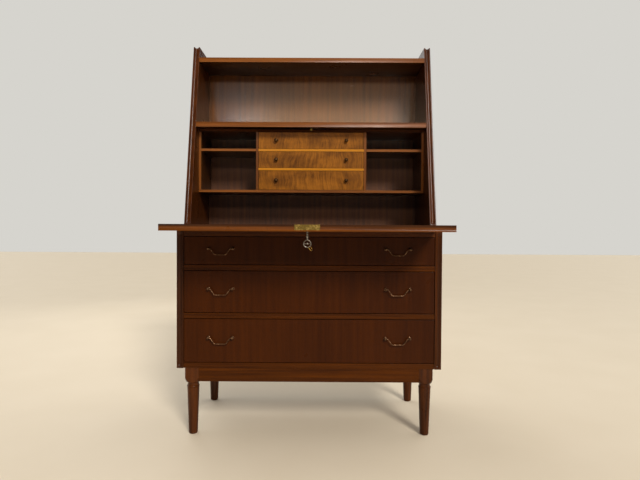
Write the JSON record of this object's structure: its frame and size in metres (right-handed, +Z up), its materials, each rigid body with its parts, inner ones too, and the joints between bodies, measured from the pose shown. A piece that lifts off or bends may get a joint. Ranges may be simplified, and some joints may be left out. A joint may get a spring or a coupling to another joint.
{
  "type": "secretary desk",
  "caption": "Drop-front secretary desk on turned legs, with large drawers below, a fitted interior behind a lockable writing flap, and an open shelf above.",
  "frame": {"origin": "on the floor, in the middle of the outline of the desk with its flap open", "axes": "+X to the right seen from the front, +Y from the front to the back, +Z up"},
  "size_m": [0.928, 0.7066, 1.442],
  "materials": {
    "walnut": "satin lacquer",
    "drawer_veneer": "satin lacquer",
    "figured_veneer": "satin lacquer",
    "lining_wood": "matt",
    "back_panel": "satin lacquer",
    "light_wood": "satin lacquer",
    "brass": "aged",
    "aged_bronze": "aged",
    "key_metal": "worn"
  },
  "bodies": {
    "case": {"side_panel_left": "walnut", "side_panel_right": "walnut", "top_board": "walnut", "middle_shelf": "walnut", "writing_bed": "walnut", "case_top": "walnut", "rail_upper": "walnut", "rail_lower": "walnut", "case_bottom": "walnut", "back_panel": "back_panel", "drawer_runners": "lining_wood", "apron_front": "walnut", "apron_back": "walnut", "apron_ends": "walnut", "leg_front_left": "walnut", "leg_front_right": "walnut", "leg_back_left": "walnut", "leg_back_right": "walnut", "cubby_top": "walnut", "cubby_bottom": "walnut", "cubby_sides": "walnut", "cubby_dividers": "walnut", "pigeonhole_shelves": "walnut", "small_drawer_rails": "light_wood", "strike_plate": "brass", "flap_stop": "brass"},
    "flap": {"flap": "walnut", "pivot_pins": "brass", "lock_case": "brass", "lock_plate": "brass", "lock_screws": "brass", "escutcheon": "brass"},
    "lock_bolt": {"lock_bolt": "brass"},
    "key": {"key": "key_metal"},
    "key_ring": {"key_ring": "key_metal"},
    "drawer_1": {"drawer_1_front": "drawer_veneer", "drawer_1_tray": "lining_wood", "drawer_1_posts": "aged_bronze"},
    "drawer_2": {"drawer_2_front": "drawer_veneer", "drawer_2_tray": "lining_wood", "drawer_2_posts": "aged_bronze"},
    "drawer_3": {"drawer_3_front": "drawer_veneer", "drawer_3_tray": "lining_wood", "drawer_3_posts": "aged_bronze"},
    "bail_1_left": {"bail_1_left": "aged_bronze"},
    "bail_1_right": {"bail_1_right": "aged_bronze"},
    "bail_2_left": {"bail_2_left": "aged_bronze"},
    "bail_2_right": {"bail_2_right": "aged_bronze"},
    "bail_3_left": {"bail_3_left": "aged_bronze"},
    "bail_3_right": {"bail_3_right": "aged_bronze"},
    "small_drawer_1": {"small_drawer_1_front": "figured_veneer", "small_drawer_1_tray": "lining_wood", "small_drawer_1_knobs": "aged_bronze"},
    "small_drawer_2": {"small_drawer_2_front": "figured_veneer", "small_drawer_2_tray": "lining_wood", "small_drawer_2_knobs": "aged_bronze"},
    "small_drawer_3": {"small_drawer_3_front": "figured_veneer", "small_drawer_3_tray": "lining_wood", "small_drawer_3_knobs": "aged_bronze"}
  },
  "joints": [
    {"name": "flap_hinge", "type": "hinge", "parent": "case", "child": "flap", "pos_m": [0, 0.03765, 0.7322], "axis": [1, 0, 0], "range_deg": [-101.75, 0]},
    {"name": "key_turn", "type": "hinge", "parent": "flap", "child": "key", "pos_m": [0, -0.33131, 0.7222], "axis": [0, 0, 1], "range_deg": [0, 180]},
    {"name": "bolt_slide", "type": "slide", "parent": "flap", "child": "lock_bolt", "axis": [0, -1, 0], "range_m": [0, 0.007]},
    {"name": "ring_swing", "type": "hinge", "parent": "key", "child": "key_ring", "pos_m": [0.00619, -0.33131, 0.67635], "axis": [-0.8192, 0, -0.5736], "range_deg": [-90, 90]},
    {"name": "drawer_1_slide", "type": "slide", "parent": "case", "child": "drawer_1", "axis": [0, -1, 0], "range_m": [0, 0.24]},
    {"name": "drawer_2_slide", "type": "slide", "parent": "case", "child": "drawer_2", "axis": [0, -1, 0], "range_m": [0, 0.3]},
    {"name": "drawer_3_slide", "type": "slide", "parent": "case", "child": "drawer_3", "axis": [0, -1, 0], "range_m": [0, 0.3]},
    {"name": "bail_1_left_swing", "type": "hinge", "parent": "drawer_1", "child": "bail_1_left", "pos_m": [-0.31, -0.07569, 0.6595], "axis": [-1, 0, 0], "range_deg": [-25, 90]},
    {"name": "bail_1_right_swing", "type": "hinge", "parent": "drawer_1", "child": "bail_1_right", "pos_m": [0.31, -0.07569, 0.6595], "axis": [-1, 0, 0], "range_deg": [-25, 90]},
    {"name": "bail_2_left_swing", "type": "hinge", "parent": "drawer_2", "child": "bail_2_left", "pos_m": [-0.31, -0.07569, 0.519], "axis": [-1, 0, 0], "range_deg": [-25, 90]},
    {"name": "bail_2_right_swing", "type": "hinge", "parent": "drawer_2", "child": "bail_2_right", "pos_m": [0.31, -0.07569, 0.519], "axis": [-1, 0, 0], "range_deg": [-25, 90]},
    {"name": "bail_3_left_swing", "type": "hinge", "parent": "drawer_3", "child": "bail_3_left", "pos_m": [-0.31, -0.07569, 0.3475], "axis": [-1, 0, 0], "range_deg": [-25, 90]},
    {"name": "bail_3_right_swing", "type": "hinge", "parent": "drawer_3", "child": "bail_3_right", "pos_m": [0.31, -0.07569, 0.3475], "axis": [-1, 0, 0], "range_deg": [-25, 90]},
    {"name": "small_drawer_1_slide", "type": "slide", "parent": "case", "child": "small_drawer_1", "axis": [0, -1, 0], "range_m": [0, 0.12]},
    {"name": "small_drawer_2_slide", "type": "slide", "parent": "case", "child": "small_drawer_2", "axis": [0, -1, 0], "range_m": [0, 0.12]},
    {"name": "small_drawer_3_slide", "type": "slide", "parent": "case", "child": "small_drawer_3", "axis": [0, -1, 0], "range_m": [0, 0.12]}
  ],
  "couplings": [
    {"joint": "key_turn", "follows": "bolt_slide", "rad_per_m": 448.8}
  ]
}
